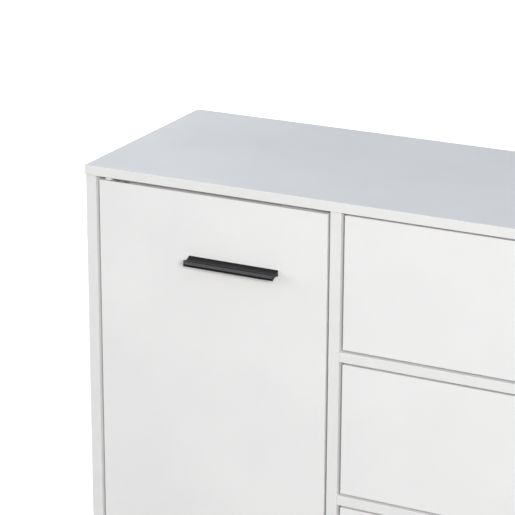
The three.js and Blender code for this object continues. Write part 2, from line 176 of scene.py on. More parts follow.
# ---- Shader node helpers ---------------------------------
def node(tree, kind, **settings):
    made = tree.nodes.new(kind)
    for key, value in settings.items():
        setattr(made, key, value)
    return made


def wire(tree, source, target):
    """Joins a source to a socket, or sets the socket where the source is a plain number or colour."""
    if isinstance(source, (int, float, tuple)):
        target.default_value = source
    else:
        tree.links.new(source, target)


def new_group(name, inputs, outputs):
    """A group of shader nodes that takes numbers {name: default} and gives the named numbers."""
    group = bpy.data.node_groups.new(name, "ShaderNodeTree")
    for label, default in inputs.items():
        socket = group.interface.new_socket(label, in_out="INPUT", socket_type="NodeSocketFloat")
        socket.default_value = default
    for label in outputs:
        group.interface.new_socket(label, in_out="OUTPUT", socket_type="NodeSocketFloat")
    return group, node(group, "NodeGroupInput"), node(group, "NodeGroupOutput")


def noise(tree, vector, scale, detail=2.0, rough=0.5):
    made = node(tree, "ShaderNodeTexNoise")
    for label, value in (("Vector", vector), ("Scale", scale), ("Detail", detail), ("Roughness", rough)):
        wire(tree, value, made.inputs[label])
    return made.outputs["Fac"]


def ramp(tree, value, low, high, out_low=0.0, out_high=1.0):
    made = node(tree, "ShaderNodeMapRange", clamp=True)
    wire(tree, value, made.inputs["Value"])
    for label, number in (("From Min", low), ("From Max", high), ("To Min", out_low), ("To Max", out_high)):
        wire(tree, number, made.inputs[label])
    return made.outputs["Result"]


def maths(tree, operation, first, second):
    made = node(tree, "ShaderNodeMath", operation=operation)
    wire(tree, first, made.inputs[0])
    wire(tree, second, made.inputs[1])
    return made.outputs["Value"]


def object_place(tree):
    """Where a point of the surface lies on its object."""
    return node(tree, "ShaderNodeTexCoord").outputs["Object"]


def sum_of(tree, first, first_share, second, second_share):
    """Two values added, each by its share."""
    shares = maths(tree, "MULTIPLY", first, first_share), maths(tree, "MULTIPLY", second, second_share)
    return maths(tree, "ADD", *shares)


def blend_colours(tree, factor, first, second):
    made = node(tree, "ShaderNodeMix", data_type="RGBA")
    wire(tree, factor, made.inputs["Factor"])
    for label, value in (("A", first), ("B", second)):
        wire(tree, value, next(s for s in made.inputs if s.name == label and s.type == "RGBA"))
    return next(s for s in made.outputs if s.type == "RGBA")


# ---- Shared effects --------------------------------------
def build_pressed_grain():
    """The fine pearl of a pressed melamine sheet: shallow rounded pits about a millimetre apart."""
    group, entry, leave = new_group(
        "pressed_grain", {"Pit Scale": 900.0, "Flow Scale": 60.0}, ("Height", "Mottle")
    )
    place = object_place(group)
    pits = node(group, "ShaderNodeTexVoronoi", feature="SMOOTH_F1")
    pits.inputs["Smoothness"].default_value = 0.6
    wire(group, place, pits.inputs["Vector"])
    wire(group, entry.outputs["Pit Scale"], pits.inputs["Scale"])
    flow = noise(group, place, entry.outputs["Flow Scale"], detail=3)
    wire(group, sum_of(group, pits.outputs["Distance"], 0.7, flow, 0.5), leave.inputs["Height"])
    wire(group, noise(group, place, 9.0, detail=4), leave.inputs["Mottle"])
    return group


def build_handling_marks():
    """Faint wiped patches where hands and cloths have changed the gloss."""
    group, entry, leave = new_group(
        "handling_marks", {"Clean": 0.4, "Wiped": 0.5, "Patch Scale": 5.0}, ("Roughness",)
    )
    place = object_place(group)
    stretch = node(group, "ShaderNodeMapping")
    stretch.inputs["Scale"].default_value = (0.6, 1.0, 1.6)
    wire(group, place, stretch.inputs["Vector"])
    patches = noise(group, stretch.outputs["Vector"], entry.outputs["Patch Scale"], detail=5, rough=0.6)
    mask = ramp(group, patches, 0.42, 0.68)
    gloss = ramp(group, mask, 0.0, 1.0, entry.outputs["Clean"], entry.outputs["Wiped"])
    wire(group, gloss, leave.inputs["Roughness"])
    return group


def build_fine_lines():
    """Fine parallel lines drawn along one direction, as on extruded or rolled metal."""
    group, entry, leave = new_group("fine_lines", {"Along": 12.0, "Across": 2400.0}, ("Lines", "Cloud"))
    place = object_place(group)
    spread = node(group, "ShaderNodeCombineXYZ")
    wire(group, entry.outputs["Along"], spread.inputs["X"])
    wire(group, entry.outputs["Across"], spread.inputs["Y"])
    wire(group, entry.outputs["Across"], spread.inputs["Z"])
    scaled = node(group, "ShaderNodeVectorMath", operation="MULTIPLY")
    wire(group, place, scaled.inputs[0])
    wire(group, spread.outputs["Vector"], scaled.inputs[1])
    wire(group, noise(group, scaled.outputs["Vector"], 1.0, detail=3, rough=0.6), leave.inputs["Lines"])
    wire(group, noise(group, place, 45.0, detail=3), leave.inputs["Cloud"])
    return group


PRESSED_GRAIN = build_pressed_grain()
HANDLING_MARKS = build_handling_marks()
FINE_LINES = build_fine_lines()


def placed(tree, group, **values):
    made = node(tree, "ShaderNodeGroup")
    made.node_tree = group
    for label, value in values.items():
        made.inputs[label.replace("_", " ")].default_value = value
    return made


def new_finish(name, **constants):
    """A material with a plain Principled shader, and the constants set on its own sockets."""
    material = bpy.data.materials.new(name)
    material.use_nodes = True
    shader = material.node_tree.nodes["Principled BSDF"]
    for label, value in constants.items():
        shader.inputs[label.replace("_", " ")].default_value = value
    return material, material.node_tree, shader


def coloured(tree, shader, value, low, high, first, second):
    """Runs the base colour from the first to the second as a value goes from low to high."""
    tone = ramp(tree, value, low, high)
    wire(tree, blend_colours(tree, tone, first, second), shader.inputs["Base Color"])


def glossed(tree, shader, value, low, high, least, most):
    """Runs the roughness from least to most as a value goes from low to high."""
    wire(tree, ramp(tree, value, low, high, least, most), shader.inputs["Roughness"])


def bumped(tree, shader, height, strength, distance):
    bump = node(tree, "ShaderNodeBump")
    bump.inputs["Strength"].default_value = strength
    bump.inputs["Distance"].default_value = distance
    wire(tree, height, bump.inputs["Height"])
    wire(tree, bump.outputs["Normal"], shader.inputs["Normal"])


# ---- Finishes --------------------------------------------
def pearl_face(name, light, shade, scales, gloss, patches, bump):
    """A white faced board or lacquered sheet: a fine pressed pearl, satin, with faint wiped patches."""
    material, tree, shader = new_finish(name, IOR=1.5)
    grain = placed(tree, PRESSED_GRAIN, Pit_Scale=scales[0], Flow_Scale=scales[1])
    marks = placed(tree, HANDLING_MARKS, Clean=gloss[0], Wiped=gloss[1], Patch_Scale=patches)
    coloured(tree, shader, grain.outputs["Mottle"], 0.3, 0.7, light, shade)
    wire(tree, marks.outputs["Roughness"], shader.inputs["Roughness"])
    bumped(tree, shader, grain.outputs["Height"], *bump)
    return material


def edge_strip():
    """The plastic strip on the boards' edges: a little smoother than the faces, with faint rolled lines."""
    material, tree, shader = new_finish("edge_strip", IOR=1.5)
    lines = placed(tree, FINE_LINES, Along=6.0, Across=900.0)
    light, shade = (0.815, 0.811, 0.805, 1.0), (0.79, 0.787, 0.782, 1.0)
    coloured(tree, shader, lines.outputs["Cloud"], 0.3, 0.7, light, shade)
    glossed(tree, shader, lines.outputs["Lines"], 0.3, 0.7, 0.32, 0.42)
    bumped(tree, shader, lines.outputs["Lines"], 0.1, 0.04 * MM)
    return material


CHIP_COLOURS = (  # place on the ramp, and colour
    (0.0, (0.16, 0.09, 0.04, 1.0)), (0.35, (0.36, 0.23, 0.12, 1.0)),
    (0.7, (0.5, 0.34, 0.19, 1.0)), (1.0, (0.62, 0.45, 0.26, 1.0)),
)
CHIP_DUST = (0.5, 0.36, 0.21, 1.0)


def raw_chipboard():
    """A sawn, unbanded edge: pressed wood chips in tan and brown, matt and pitted."""
    material, tree, shader = new_finish("raw_chipboard", Specular_IOR_Level=0.3)
    place = object_place(tree)
    stretch = node(tree, "ShaderNodeMapping")
    stretch.inputs["Scale"].default_value = (1.0, 1.0, 0.8)
    wire(tree, place, stretch.inputs["Vector"])
    chips = node(tree, "ShaderNodeTexVoronoi", feature="F1")
    chips.inputs["Scale"].default_value = 420.0
    wire(tree, stretch.outputs["Vector"], chips.inputs["Vector"])
    chip_tone = node(tree, "ShaderNodeSeparateColor")
    wire(tree, chips.outputs["Color"], chip_tone.inputs["Color"])
    colours = node(tree, "ShaderNodeValToRGB")
    stops = colours.color_ramp.elements
    stops[0].position, stops[0].color = CHIP_COLOURS[0]
    stops[1].position, stops[1].color = CHIP_COLOURS[-1]
    for position, colour in CHIP_COLOURS[1:-1]:
        stops.new(position).color = colour
    wire(tree, chip_tone.outputs["Red"], colours.inputs["Fac"])
    dust = noise(tree, place, 1500.0, detail=2)
    coloured(tree, shader, dust, 0.4, 0.7, colours.outputs["Color"], CHIP_DUST)
    glossed(tree, shader, chip_tone.outputs["Green"], 0.0, 1.0, 0.75, 0.95)
    bumped(tree, shader, chips.outputs["Distance"], 0.5, 0.3 * MM)
    return material


def brown_hardboard():
    """The rough side of hardboard: brown matted fibre with the weave of the press screen."""
    material, tree, shader = new_finish("brown_hardboard", Specular_IOR_Level=0.3)
    place = object_place(tree)
    fibre = noise(tree, place, 350.0, detail=5, rough=0.7)
    cloud = noise(tree, place, 7.0, detail=4)
    screen = node(tree, "ShaderNodeTexVoronoi", feature="F1", distance="CHEBYCHEV")
    screen.inputs["Scale"].default_value = 650.0
    screen.inputs["Randomness"].default_value = 0.25
    wire(tree, place, screen.inputs["Vector"])
    tone = sum_of(tree, fibre, 0.8, cloud, 0.2)
    coloured(tree, shader, tone, 0.3, 0.7, (0.2, 0.12, 0.062, 1.0), (0.37, 0.24, 0.135, 1.0))
    glossed(tree, shader, fibre, 0.3, 0.7, 0.7, 0.88)
    bumped(tree, shader, maths(tree, "ADD", fibre, screen.outputs["Distance"]), 0.35, 0.15 * MM)
    return material


def anodised(name, dark, light, sheen):
    """Anodised extrusion: satin, with fine die lines along its length and slight cloudiness."""
    material, tree, shader = new_finish(name, IOR=sheen)
    lines = placed(tree, FINE_LINES, Along=10.0, Across=2600.0)
    tone = maths(tree, "ADD", lines.outputs["Cloud"], lines.outputs["Lines"])
    coloured(tree, shader, tone, 0.75, 1.25, dark, light)
    wire(tree, ramp(tree, lines.outputs["Cloud"], 0.3, 0.7, 0.2, 0.35), shader.inputs["Metallic"])
    glossed(tree, shader, lines.outputs["Lines"], 0.3, 0.7, 0.36, 0.48)
    bumped(tree, shader, lines.outputs["Lines"], 0.15, 0.03 * MM)
    return material


def zinc_plate(name, metal, least, most):
    """Zinc plating: cool grey metal with faint blue and straw tints, and a fine satin mottle."""
    material, tree, shader = new_finish(name, Metallic=metal)
    lines = placed(tree, FINE_LINES, Along=500.0, Across=500.0)
    blue, straw = (0.6, 0.63, 0.67, 1.0), (0.7, 0.68, 0.63, 1.0)
    coloured(tree, shader, lines.outputs["Cloud"], 0.35, 0.65, blue, straw)
    glossed(tree, shader, lines.outputs["Lines"], 0.3, 0.7, least, most)
    bumped(tree, shader, lines.outputs["Lines"], 0.08, 0.02 * MM)
    return material


def moulded(name, light, dark, least, most):
    """Injection-moulded plastic: fine spark texture and slight gloss changes."""
    material, tree, shader = new_finish(name, IOR=1.5)
    grain = placed(tree, PRESSED_GRAIN, Pit_Scale=2200.0, Flow_Scale=300.0)
    coloured(tree, shader, grain.outputs["Mottle"], 0.35, 0.65, light, dark)
    glossed(tree, shader, grain.outputs["Height"], 0.2, 0.8, least, most)
    bumped(tree, shader, grain.outputs["Height"], 0.15, 0.05 * MM)
    return material


MELAMINE = pearl_face(
    "white_melamine", (0.845, 0.842, 0.838, 1.0), (0.815, 0.812, 0.81, 1.0),
    scales=(850.0, 70.0), gloss=(0.5, 0.62), patches=4.0, bump=(0.12, 0.06 * MM),
)
EDGE_STRIP = edge_strip()
CHIPBOARD = raw_chipboard()
HARDBOARD_BROWN = brown_hardboard()
HARDBOARD_WHITE = pearl_face(
    "painted_hardboard", (0.8, 0.8, 0.795, 1.0), (0.765, 0.765, 0.76, 1.0),
    scales=(380.0, 30.0), gloss=(0.32, 0.45), patches=6.0, bump=(0.2, 0.1 * MM),
)
BLACK_ANODISED = anodised("black_anodised", (0.012, 0.012, 0.0125, 1.0), (0.018, 0.018, 0.019, 1.0), 1.3)
# The lip's front band: black anodised painted lighter, a painted highlight for the light that its front
# face catches.
LIP_PAINTED_HIGHLIGHT = anodised("lip_painted_highlight", (0.085, 0.085, 0.088, 1.0), (0.135, 0.135, 0.14, 1.0), 1.5)
ZINC = zinc_plate("zinc_plate", 1.0, 0.28, 0.42)
DULL_ZINC = zinc_plate("dull_zinc_plate", 0.25, 0.5, 0.62)  # a chalky passivated zinc, as on small hinges
NYLON = moulded("white_nylon", (0.82, 0.82, 0.8, 1.0), (0.78, 0.78, 0.755, 1.0), 0.4, 0.55)
GREY_PLASTIC = moulded("grey_plastic", (0.19, 0.19, 0.2, 1.0), (0.16, 0.16, 0.168, 1.0), 0.5, 0.65)


# ---- Making boards ---------------------------------------
def side_of(side):
    """The axis number and direction of a side such as "-y"."""
    return AXES[side[1]], -1 if side[0] == "-" else 1


def reach_of(piece, side):
    """How far a piece reaches on one side, along that axis."""
    axis, sign = side_of(side)
    return sign * max(sign * vertex.co[axis] for vertex in piece.data.vertices)


def slice_at(piece, axis, place):
    """Cuts a loop of edges round a piece, square to an axis."""
    point, normal = [0.0, 0.0, 0.0], [0.0, 0.0, 0.0]
    point[axis], normal[axis] = place, 1.0
    open_mesh(piece, everything=True)
    bpy.ops.mesh.bisect(plane_co=point, plane_no=normal)
    close_mesh()


def step_end(piece, side, *steps):
    """Works an end face: each (inset, push) narrows it and moves it out, or in where push is negative."""
    axis, sign = side_of(side)
    far = reach_of(piece, side)
    open_mesh(piece)
    pick_faces(piece, lambda centre, normal: normal[axis] * sign > 0.9 and abs(centre[axis] - far) < NEAR)
    for inset, push in steps:
        if inset:
            bpy.ops.mesh.inset(thickness=inset)
        if push:
            move = [0.0, 0.0, 0.0]
            move[axis] = sign * push
            bpy.ops.mesh.extrude_region_move(TRANSFORM_OT_translate={"value": move})
    close_mesh()


def paint(piece, finishes, choose=lambda centre, normal: 0):
    """Gives a piece its finishes, and each face the number that choose(centre, normal) says."""
    piece.data.materials.clear()
    for finish in finishes:
        piece.data.materials.append(finish)
    for face in piece.data.polygons:
        face.material_index = choose(face.center, face.normal)


def complete(piece, finish, body, slot, *nodes, angle=40):
    """The last steps on a piece of one finish: paint, smooth and fit it."""
    paint(piece, (finish,))
    smooth(piece, angle)
    fit(piece, body, slot, *nodes)


RAW_DEPTH = 0.3 * MM  # how near a raw side's own plane a face is chipboard
CORE_DEPTH = 1.2 * MM  # a face this deep inside a board is the wall of a hole or a groove


def shape_board(piece, banded=(), raw=(), cutters=()):
    """Turns a block into a faced board: edge strips, rounded edges, drilled holes and its finishes."""
    reach = {sign + axis: reach_of(piece, sign + axis) for axis in "xyz" for sign in "-+"}

    def depth(point, side):
        axis, sign = side_of(side)
        return sign * (reach[side] - point[axis])

    for side in banded:
        axis, sign = side_of(side)
        slice_at(piece, axis, reach_of(piece, side) - sign * BAND)
    soften(piece, BOARD_EDGE)
    for cutter in cutters:
        carve(piece, cutter)

    def choose(centre, normal):
        for side in banded:
            if depth(centre, side) < BAND * 0.99:
                return 1
        for side in raw:
            if depth(centre, side) < RAW_DEPTH:
                return 2
        return 2 if all(depth(centre, side) > CORE_DEPTH for side in reach) else 0

    paint(piece, (MELAMINE, EDGE_STRIP, CHIPBOARD), choose)
    smooth(piece)


def board(node_name, body, banded=(), raw=(), cutters=()):
    """A board that stands for one CAD node, in the place of that node."""
    made = block(node_name + "_board", *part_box(node_name))
    shape_board(made, banded, raw, cutters)
    fit(made, body, "white_board", node_name)


def block_cutter(low, high):
    return block("cutter", low, high)


def rod_cutter(radius, centre, length, axis):
    return rod("cutter", radius, centre, length, axis, sides=24)


# ---- Sizes shared by the carcass's pieces ----------------
top_low, top_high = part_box("top_panel")
left_inner_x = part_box("left_side")[1].x
right_inner_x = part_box("right_side")[0].x
divider_low, divider_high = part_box("divider")
bottom_low, bottom_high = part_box("bottom_panel")
sheet_low, sheet_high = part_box("back_panel_left")
bush_low, bush_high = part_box("pivot_bush_upper")

CEILING_Z = top_low.z
FLOOR_Z = bottom_high.z
GROOVE_DEPTH = 6.0 * MM
GROOVE_SLACK = 0.3 * MM
HOLE_RADIUS, HOLE_DEPTH = 2.7 * MM, 10.0 * MM
PIN_PITCH = 32.0 * MM
PIN_RISE = 4.0 * MM  # from a shelf pin's underside to its middle
PIVOT = (bush_low + bush_high) / 2
BUSH_HOLE, BUSH_DEPTH = 4.7 * MM, 11.0 * MM
PAST = 5.0 * MM  # how far a cutter runs past the face that it opens
CORNERS = tuple((end, side) for end in ("front", "back") for side in ("left", "right"))


def sheet_groove(low_x, high_x, low_z, high_z):
    """The slot that the hardboard back sits in."""
    return block_cutter(
        (low_x, sheet_low.y - GROOVE_SLACK, low_z), (high_x, sheet_high.y + GROOVE_SLACK, high_z)
    )


def pin_place(end, side):
    """Middle of a shelf pin's hole on the face of its board."""
    low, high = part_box(f"shelf_pin_{end}_{side}")
    face = left_inner_x if side == "left" else divider_low.x
    return Vector((face, (low.y + high.y) / 2, low.z + PIN_RISE))


def pin_holes(side):
    """Two columns of three holes, 32 mm apart, for the shelf's pins."""
    into = -1 if side == "left" else 1
    cutters = []
    for end in ("front", "back"):
        place = pin_place(end, side)
        for row in (-1, 0, 1):
            centre = place + Vector((into * (HOLE_DEPTH - PAST) / 2, 0, row * PIN_PITCH))
            cutters.append(rod_cutter(HOLE_RADIUS, centre, HOLE_DEPTH + PAST, "x"))
    return cutters


# ---- Carcass ---------------------------------------------
def bush_hole(height):
    """The blind hole that a pivot bush's sleeve sits in."""
    return rod_cutter(BUSH_HOLE, (PIVOT.x, PIVOT.y, height), 2 * BUSH_DEPTH, "z")


def make_carcass():
    groove_left, groove_right = left_inner_x - GROOVE_DEPTH, right_inner_x + GROOVE_DEPTH
    groove_foot, groove_top = FLOOR_Z - GROOVE_DEPTH, CEILING_Z + GROOVE_DEPTH
    board(
        "top_panel", CARCASS, banded=("-y", "-x", "+x", "+y"),
        cutters=(
            sheet_groove(groove_left, groove_right, CEILING_Z - PAST, groove_top),
            bush_hole(CEILING_Z),
        ),
    )
    board(
        "left_side", CARCASS, banded=("-y",), raw=("+y", "-z"),
        cutters=(
            sheet_groove(groove_left, left_inner_x + PAST, groove_foot, top_high.z),
            *pin_holes("left"),
        ),
    )
    board(
        "right_side", CARCASS, banded=("-y",), raw=("+y", "-z"),
        cutters=(sheet_groove(right_inner_x - PAST, groove_right, groove_foot, top_high.z),),
    )
    board(
        "divider", CARCASS, banded=("-y",), raw=("+y", "-z", "+z"),
        cutters=(
            sheet_groove(divider_low.x - PAST, divider_low.x + GROOVE_DEPTH, FLOOR_Z - PAST, top_high.z),
            sheet_groove(divider_high.x - GROOVE_DEPTH, divider_high.x + PAST, FLOOR_Z - PAST, top_high.z),
            *pin_holes("right"),
        ),
    )
    board(
        "bottom_panel", CARCASS, banded=("-y",), raw=("+y", "-x", "+x"),
        cutters=(
            sheet_groove(bottom_low.x - PAST, bottom_high.x + PAST, groove_foot, FLOOR_Z + PAST),
            bush_hole(FLOOR_Z),
        ),
    )
    board("plinth", CARCASS, raw=("-x", "+x", "-z", "+z"))
    for name in ("drawer_rail_upper", "drawer_rail_lower", "shelf"):
        board(name, CARCASS, banded=("-y",), raw=("+y", "-x", "+x"))


SHEET_EDGE = 0.25 * MM


def shape_sheet(sheet, fair_side):
    """Makes a block a thin hardboard sheet, lacquered white on one side and brown elsewhere."""
    axis, sign = side_of(fair_side)
    soften(sheet, SHEET_EDGE, segments=1)
    paint(sheet, (HARDBOARD_BROWN, HARDBOARD_WHITE), lambda centre, normal: int(normal[axis] * sign > 0.9))
    smooth(sheet)


def make_backs():
    for node_name in ("back_panel_left", "back_panel_right"):
        sheet = block(node_name + "_sheet", *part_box(node_name))
        shape_sheet(sheet, "-y")
        fit(sheet, CARCASS, "hardboard", node_name)


# ---- Small hardware --------------------------------------
GLIDE_CHAMFER = 0.7 * MM
NAIL_STEPS = ((3.2 * MM, 0), (0.4 * MM, -0.8 * MM), (0.6 * MM, -0.3 * MM), (1.0 * MM, 0.4 * MM))
NAIL_RADIUS, NAIL_DEPTH = 3.0 * MM, 1.5 * MM


def round_end(piece, sign, radius, segments):
    """Rounds the rim of a piece's top end, or of its bottom end where sign is -1."""
    open_mesh(piece)
    pick_faces(piece, lambda centre, normal: normal.z * sign > 0.9)
    bpy.ops.mesh.bevel(offset=radius, segments=segments, affect="EDGES")
    close_mesh()


def make_glides():
    """Moulded discs with a chamfered rim and a sunk nail in the middle of the underside."""
    low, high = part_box("glide_front_left")
    middle, radius = (low + high) / 2, (high.x - low.x) / 2
    disc = rod("glide_disc", radius, middle, high.z - low.z, "z", sides=48)
    round_end(disc, -1, GLIDE_CHAMFER, 3)
    step_end(disc, "-z", *NAIL_STEPS)

    def nail(centre, normal):
        return int((centre - middle).xy.length < NAIL_RADIUS and centre.z < low.z + NAIL_DEPTH)

    paint(disc, (GREY_PLASTIC, ZINC), nail)
    smooth(disc, 40)
    for end, side in CORNERS:
        node_name = f"glide_{end}_{side}"
        piece = copy_of(disc, node_name + "_disc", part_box(node_name)[0] - low)
        fit(piece, CARCASS, "grey_plastic", node_name)
    bpy.data.objects.remove(disc)


def turned_copy(piece, name, place, turn):
    """A copy of a piece made about the origin, turned and then put in its place."""
    only(piece)
    bpy.ops.object.duplicate(linked=False)
    made = bpy.context.object
    made.rotation_euler = turn
    made.location = place
    return named(name)


FACING = {
    "+z": (0, 0, 0),
    "-z": (math.pi, 0, 0),
    "-y": (math.pi / 2, 0, 0),
    "+y": (-math.pi / 2, 0, 0),
    "+x": (0, math.pi / 2, 0),
    "-x": (0, -math.pi / 2, 0),
}


def make_screw(radius, height):
    """A pan-head screw about the origin, its head standing up from z = 0, with a cross recess."""
    head = rod("screw_master", radius, (0, 0, height / 2), height, "z")
    round_end(head, 1, height * 0.62, 4)
    arm, width, sink = radius * 0.62, radius * 0.15, height * 0.62
    for long_axis in (0, 1):
        low, high = [-width, -width, height - sink], [width, width, height * 2]
        low[long_axis], high[long_axis] = -arm, arm
        carve(head, block_cutter(low, high))
    paint(head, (ZINC,))
    smooth(head, 40)
    return head


SCREWS = {
    "handle": make_screw(4.0 * MM, 2.4 * MM),
    "strike": make_screw(3.4 * MM, 1.7 * MM),
    "flat": make_screw(3.4 * MM, 1.2 * MM),
}


def screw(name, place, side, body, size="flat"):
    """Puts a screw's head on a face: its seat is at the place, and it faces a side such as "-x"."""
    piece = turned_copy(SCREWS[size], name, place, FACING[side])
    fit(piece, body, "zinc_steel")


def make_shelf_pins():
    """Turned steel pins with a collar against the board, flattened on top."""
    low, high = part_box("shelf_pin_front_left")
    radius, collar = 2.5 * MM, 4.0 * MM
    collar_start, collar_width, tip_chamfer = 0.2 * MM, 0.7 * MM, 0.5 * MM
    inside, reach = low.x - left_inner_x, high.x - left_inner_x
    pin = rod("pin_master", radius, (0, 0, (inside + collar_start) / 2), collar_start - inside, "z")
    shank = reach - collar_start - collar_width - tip_chamfer
    step_end(pin, "+z", (0, collar_width), (0, shank), (0.4 * MM, tip_chamfer))
    open_mesh(pin)
    middle = collar_start + collar_width / 2
    pick_faces(pin, lambda centre, normal: abs(centre.z - middle) < 0.1 * MM and abs(normal.z) < 0.1)
    bpy.ops.mesh.extrude_region_shrink_fatten(TRANSFORM_OT_shrink_fatten={"value": collar - radius})
    close_mesh()
    soften(pin, 0.12 * MM, segments=1, sharp=40)
    carve(pin, block_cutter((-collar * 2, radius, -20 * MM), (collar * 2, collar * 2, 20 * MM)))
    paint(pin, (ZINC,))
    smooth(pin, 40)
    for end, side in CORNERS:
        node_name = f"shelf_pin_{end}_{side}"
        turn = (math.pi / 2, 0, math.pi / 2 if side == "left" else -math.pi / 2)
        piece = turned_copy(pin, node_name + "_pin", pin_place(end, side), turn)
        fit(piece, CARCASS, "zinc_steel", node_name)
    bpy.data.objects.remove(pin)


PIVOT_ENDS = (("upper", 1), ("lower", -1))  # name, and direction away from the door's middle


def facing(sign):
    return "+z" if sign > 0 else "-z"


def ends_of(node_name, sign):
    """Heights of the near and the far end of a piece of the pivots, seen from the door's middle."""
    low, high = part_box(node_name)
    return (low.z, high.z) if sign > 0 else (high.z, low.z)


def make_bushes():
    """Nylon bushes that the pivot pins turn in: a flange in the gap and a sleeve in the board."""
    flange, sleeve, bore = 7.0 * MM, 4.5 * MM, 2.6 * MM
    end_wall, seam = 0.5 * MM, 0.2 * MM
    for place, sign in PIVOT_ENDS:
        node_name = f"pivot_bush_{place}"
        gap_end, board_end = ends_of(node_name, sign)
        length = abs(board_end - gap_end)
        flange_height = abs((CEILING_Z if sign > 0 else FLOOR_Z) - gap_end) - seam
        centre = (PIVOT.x, PIVOT.y, gap_end + sign * flange_height / 2)
        bush = rod(node_name + "_bush", flange, centre, flange_height, "z", sides=48)
        step_end(bush, facing(sign), (flange - sleeve, length - flange_height))
        step_end(bush, facing(-sign), (flange - bore, end_wall - length))
        soften(bush, 0.25 * MM)
        complete(bush, NYLON, CARCASS, "white_nylon", node_name)


PLATE_CORNER, PLATE_THICKNESS = 2.5 * MM, 1.5 * MM


def plate_holes(place):
    """Where the two screws of a pivot plate are along the door."""
    low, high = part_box(f"door_pivot_{place}")
    return low.x + 20.0 * MM, high.x - 6.0 * MM


def upright(one_end, other_end):
    """Whether an edge of a flat plate is one of its upright corners."""
    return abs(one_end.z - other_end.z) > 0.5 * MM


def make_pivots():
    """Steel plates let into the door's ends, each with a pivot pin and two screw holes."""
    for place, sign in PIVOT_ENDS:
        node_name = f"door_pivot_{place}"
        low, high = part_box(node_name)
        near, tip = ends_of(node_name, sign)
        face = near + sign * PLATE_THICKNESS
        foot, top = sorted((near, face))
        plate = block(node_name + "_plate", (low.x, low.y, foot), (high.x, high.y, top))
        bevel_edges(plate, upright, PLATE_CORNER, 5)
        for screw_x in plate_holes(place):
            carve(plate, rod_cutter(2.0 * MM, (screw_x, PIVOT.y, face), 8.0 * MM, "z"))
        soften(plate, 0.2 * MM, segments=1)
        pin = rod("pin", 2.5 * MM, (PIVOT.x, PIVOT.y, (face + tip) / 2), abs(tip - face), "z", sides=36)
        step_end(pin, facing(-sign), (0, 0.4 * MM))
        round_end(pin, sign, 0.6 * MM, 2)
        use_modifier(plate, "BOOLEAN", operation="UNION", solver="EXACT", object=pin)
        bpy.data.objects.remove(pin)
        complete(plate, DULL_ZINC, "door", "zinc_steel", node_name)


CATCH_SLOT = 3.6 * MM  # from each end of the catch to its screw


def make_catch():
    """A magnetic catch: a moulded case with a magnet held between two steel poles, and a steel strike."""
    low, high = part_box("magnetic_catch")
    middle = (low + high) / 2

    def in_mouth(end, start_y, end_y, foot, top):
        """Corners of a box in the mouth, from distances to the ends, the front and the middle."""
        near = (low.x + end, low.y + start_y, middle.z + foot)
        return near, (high.x - end, low.y + end_y, middle.z + top)

    case = block("magnetic_catch_case", low, high)
    soften(case, 1.2 * MM, segments=3)
    half = (high.z - low.z) / 2 - 3.0 * MM
    carve(case, block_cutter(*in_mouth(7.0 * MM, -PAST, 2.5 * MM, -half, half)))
    for number, slot_x in enumerate((low.x + CATCH_SLOT, high.x - CATCH_SLOT)):
        carve(case, rod_cutter(1.7 * MM, (slot_x, middle.y, low.z), 12.0 * MM, "z"))
        place = (slot_x, middle.y, low.z - 0.05 * MM)
        screw(f"magnetic_catch_screw_{number + 1}", place, "-z", CARCASS)
    complete(case, NYLON, CARCASS, "white_nylon", "magnetic_catch")
    for number, foot in enumerate((-3.3 * MM, 1.9 * MM)):
        corners = in_mouth(7.4 * MM, 0.1 * MM, 2.6 * MM, foot, foot + 1.4 * MM)
        pole = block(f"magnetic_catch_pole_{number + 1}", *corners)
        soften(pole, 0.25 * MM)
        complete(pole, ZINC, CARCASS, "zinc_steel", angle=50)
    corners = in_mouth(9.0 * MM, 0.9 * MM, 2.6 * MM, -1.9 * MM, 1.9 * MM)
    magnet = block("magnetic_catch_magnet", *corners)
    soften(magnet, 0.3 * MM)
    complete(magnet, GREY_PLASTIC, CARCASS, "grey_plastic", angle=50)

    low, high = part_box("catch_strike")
    plate = block("catch_strike_plate", low, high)
    step_end(plate, "+y", (1.2 * MM, 0), (0.5 * MM, -0.25 * MM))
    soften(plate, 0.3 * MM, sharp=60)
    carve(plate, rod_cutter(1.9 * MM, ((low.x + high.x) / 2, low.y, (low.z + high.z) / 2), 8.0 * MM, "y"))
    complete(plate, ZINC, "door", "zinc_steel", "catch_strike")


# ---- Bar handles -----------------------------------------
def curve_height(forward, start, control, end):
    """Height of a quadratic curve of (forward, height) points at one distance forward."""
    a = start[0] - 2 * control[0] + end[0]
    b = 2 * (control[0] - start[0])
    c = start[0] - forward
    along = -c / b if abs(a) < 1e-9 else (-b + math.sqrt(max(b * b - 4 * a * c, 0.0))) / (2 * a)
    along = min(max(along, 0.0), 1.0)
    return (1 - along) ** 2 * start[1] + 2 * along * (1 - along) * control[1] + along**2 * end[1]


# Heights in millimetres from the middle of the flange: the waist above and below, then the lip.
HANDLE_LOOPS = (0, 2, 3.5, 5, 6.5, 8, 9.5, 11, 12.5, 14, 15.5, 17, 18, 19, 21)
WAIST_TOP = ((2, 5), (11, -1.4), (19, 3.5))
WAIST_BOTTOM = ((2, -5), (11, -0.6), (18, -6.6))
LIP_TOP, LIP_BOTTOM, FLANGE_HALF = 3.5, -7.0, 5.0
LIP_CURL = 3.0 * MM  # rounding under the lip
BAND_FOOT = 4.2 * MM  # the lip's front is painted lighter above this height, a painted highlight, and black below it


def handle_heights(forward):
    """Upper and lower height of the handle's section at one distance forward."""
    if forward < 2:
        return FLANGE_HALF, -FLANGE_HALF
    top = curve_height(forward, *WAIST_TOP) if forward < 19 else LIP_TOP
    bottom = curve_height(forward, *WAIST_BOTTOM) if forward < 18.5 else LIP_BOTTOM
    return top, bottom


def long_edge(one_end, other_end):
    return abs(one_end.x - other_end.x) > 50 * MM


